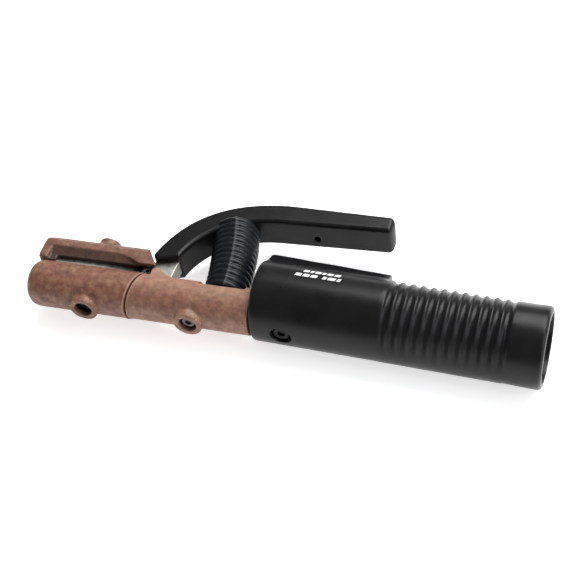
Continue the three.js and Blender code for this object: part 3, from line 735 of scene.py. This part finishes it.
def build_roll_pin():
    """A rolled spring pin: a tube with one slit and chamfered ends, along Z."""
    u, v, outer, inner, half, slit = -50.6, 9.5, 1.5, 0.95, 6.0, 0.28
    sweep = np.linspace(slit, 2 * np.pi - slit, 40) + 0.4
    rings = []
    for z, trim in ((-half, 0.25), (-half + 0.3, 0), (half - 0.3, 0), (half, 0.25)):
        outside = [(u + (outer - trim) * math.cos(a), v + (outer - trim) * math.sin(a), z) for a in sweep]
        inside = [(u + inner * math.cos(a), v + inner * math.sin(a), z) for a in sweep[::-1]]
        rings.append(outside + inside)
    return placed("roll_pin", rings_mesh("roll_pin", rings), HEAD_FRAME, "steel", 35)


GRUB_LENGTH, GRUB_R, GRUB_TOP = 6.6, 2.5, 10.5
tip_screw = build_screw("tip_socket_screw", "lower_tip_screw", TIP_BOSS_U, -6.8, 1, 9)
upper_screw = build_screw("upper_socket_screw", "upper_tip_screw", UPPER_BOSS_U, 21.4, -1, 8, 2.8)
body_screw = build_screw("body_socket_screw", "body_insulator_screw", BODY_BOSS_U, -8.2, 1, 7)
handle_screw = build_screw(
    "handle_socket_screw", "handle_screw", HANDLE_SCREW_U, -7.5, 1, 7,
    head_r=3.5, head_height=1.5, hex_r=1.8)
lever_grub = build_grub("lever_grub_screw", "lever_set_screw", 15.2, 47.9, -1, 4.4, 1.3, z=-2.0)
front_grub = build_grub(
    "socket_grub_front", "cable_set_screw_front", 31, GRUB_TOP, 1, GRUB_LENGTH, GRUB_R)
rear_grub = build_grub("socket_grub_rear", "cable_set_screw_rear", 43, GRUB_TOP, 1, GRUB_LENGTH, GRUB_R)
for piece, node, body in (
    (tip_screw, "lower_tip_screw", "body"),
    (upper_screw, "upper_tip_screw", "lever"),
    (body_screw, "body_insulator_screw", "body"),
    (handle_screw, "handle_screw", "body"),
    (lever_grub, "lever_set_screw", "lever"),
    (front_grub, "cable_set_screw_front", "body"),
    (rear_grub, "cable_set_screw_rear", "body"),
    (build_roll_pin(), "hinge_pin", "body"),
):
    stand_for(piece, node, body)

# ---- plain printed marks on the handle, in place of any wording --------------------------------
# each row: start x, angle from -Y towards +Z, half height as an angle, and the widths of its
# dashes in millimetres, with 0 for a wider space
MARK_ROWS = (
    (-101.5, 1.99, 0.052, (2.4, 1.2, 2.4, 1.2, 2.4, 2.4)),
    (-104.2, 1.80, 0.050, (2.6, 2.6, 2.6, 0, 1.5, 3.2, 1.5)),
)
MARK_GAP, MARK_SPACE, MARK_HEIGHT, MARK_SLANT = 0.75, 0.9, 0.08, 0.25


def build_marks():
    """Rows of plain raised dashes on the handle's near upper side."""
    mesh = bpy.data.meshes.new("printed_marks")
    points, faces = [], []
    for start, turn, half, dashes in MARK_ROWS:
        x = start
        for dash in dashes:
            width = dash or MARK_SPACE
            if dash:
                base = len(points)
                for r in (HANDLE_R, HANDLE_R + MARK_HEIGHT):
                    for along, side in ((0, -1), (1, -1), (1, 1), (0, 1)):
                        angle = turn + side * half
                        place = x + width * along + MARK_SLANT * side
                        points.append((place, -r * math.cos(angle), r * math.sin(angle)))
                faces += [tuple(base + k for k in (4, 5, 6, 7)), tuple(base + k for k in (3, 2, 1, 0))]
                for k in range(4):
                    m = (k + 1) % 4
                    faces.append((base + k, base + m, base + 4 + m, base + 4 + k))
            x += width + MARK_GAP
    mesh.from_pydata(points, [], faces)
    made = placed("printed_marks", mesh, HANDLE_FRAME, "print", 35)
    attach(made, "body")


build_marks()

# ---- materials of the CAD pieces that stay in view ---------------------------------------------
for node in ("spring_washer_lower", "spring_washer_upper", "cable_clamp_shoe"):
    shown = frame["nodes"][node]
    shown.data.materials.clear()
    shown.data.materials.append(MATERIALS[SLOTS[node]])

# ---- floor and light ---------------------------------------------------------------------------
FLOOR_HALF = 4


def build_floor():
    corners = [(x * FLOOR_HALF, y * FLOOR_HALF, 0.0) for x, y in ((-1, -1), (1, -1), (1, 1), (-1, 1))]
    mesh = bpy.data.meshes.new("floor")
    mesh.from_pydata(corners, [], [(0, 1, 2, 3)])
    n = Nodes("floor_white")
    n.shader.inputs["Base Color"].default_value = (0.93, 0.93, 0.93, 1)
    n.shader.inputs["Roughness"].default_value = 0.9
    n.shader.inputs["Specular IOR Level"].default_value = 0.1
    n.shader.inputs["Emission Color"].default_value = (1, 1, 1, 1)
    n.shader.inputs["Emission Strength"].default_value = 0.62
    floor = bpy.data.objects.new("floor", mesh)
    floor.data.materials.append(n.material)
    scene.collection.objects.link(floor)


def area_light(name, place, target, size, power, colour=(1, 1, 1)):
    data = bpy.data.lights.new(name, "AREA")
    data.shape = "RECTANGLE"
    data.size, data.size_y = size
    data.energy = power
    data.color = colour
    light = bpy.data.objects.new(name, data)
    scene.collection.objects.link(light)
    light.location = place
    light.rotation_euler = (Vector(target) - Vector(place)).to_track_quat("-Z", "Y").to_euler()


build_floor()
area_light("key_softbox", (0.25, 0.45, 0.80), (0, 0, 0), (0.9, 0.6), 16)
area_light("side_softbox", (0.75, -0.15, 0.5), (0, 0, 0.02), (0.4, 0.7), 2.6, (0.93, 0.96, 1.0))
world = bpy.data.worlds.new("studio")
world.use_nodes = True
world.node_tree.nodes["Background"].inputs["Color"].default_value = (1, 1, 1, 1)
world.node_tree.nodes["Background"].inputs["Strength"].default_value = 0.33
scene.world = world
scene.view_settings.view_transform = "Standard"
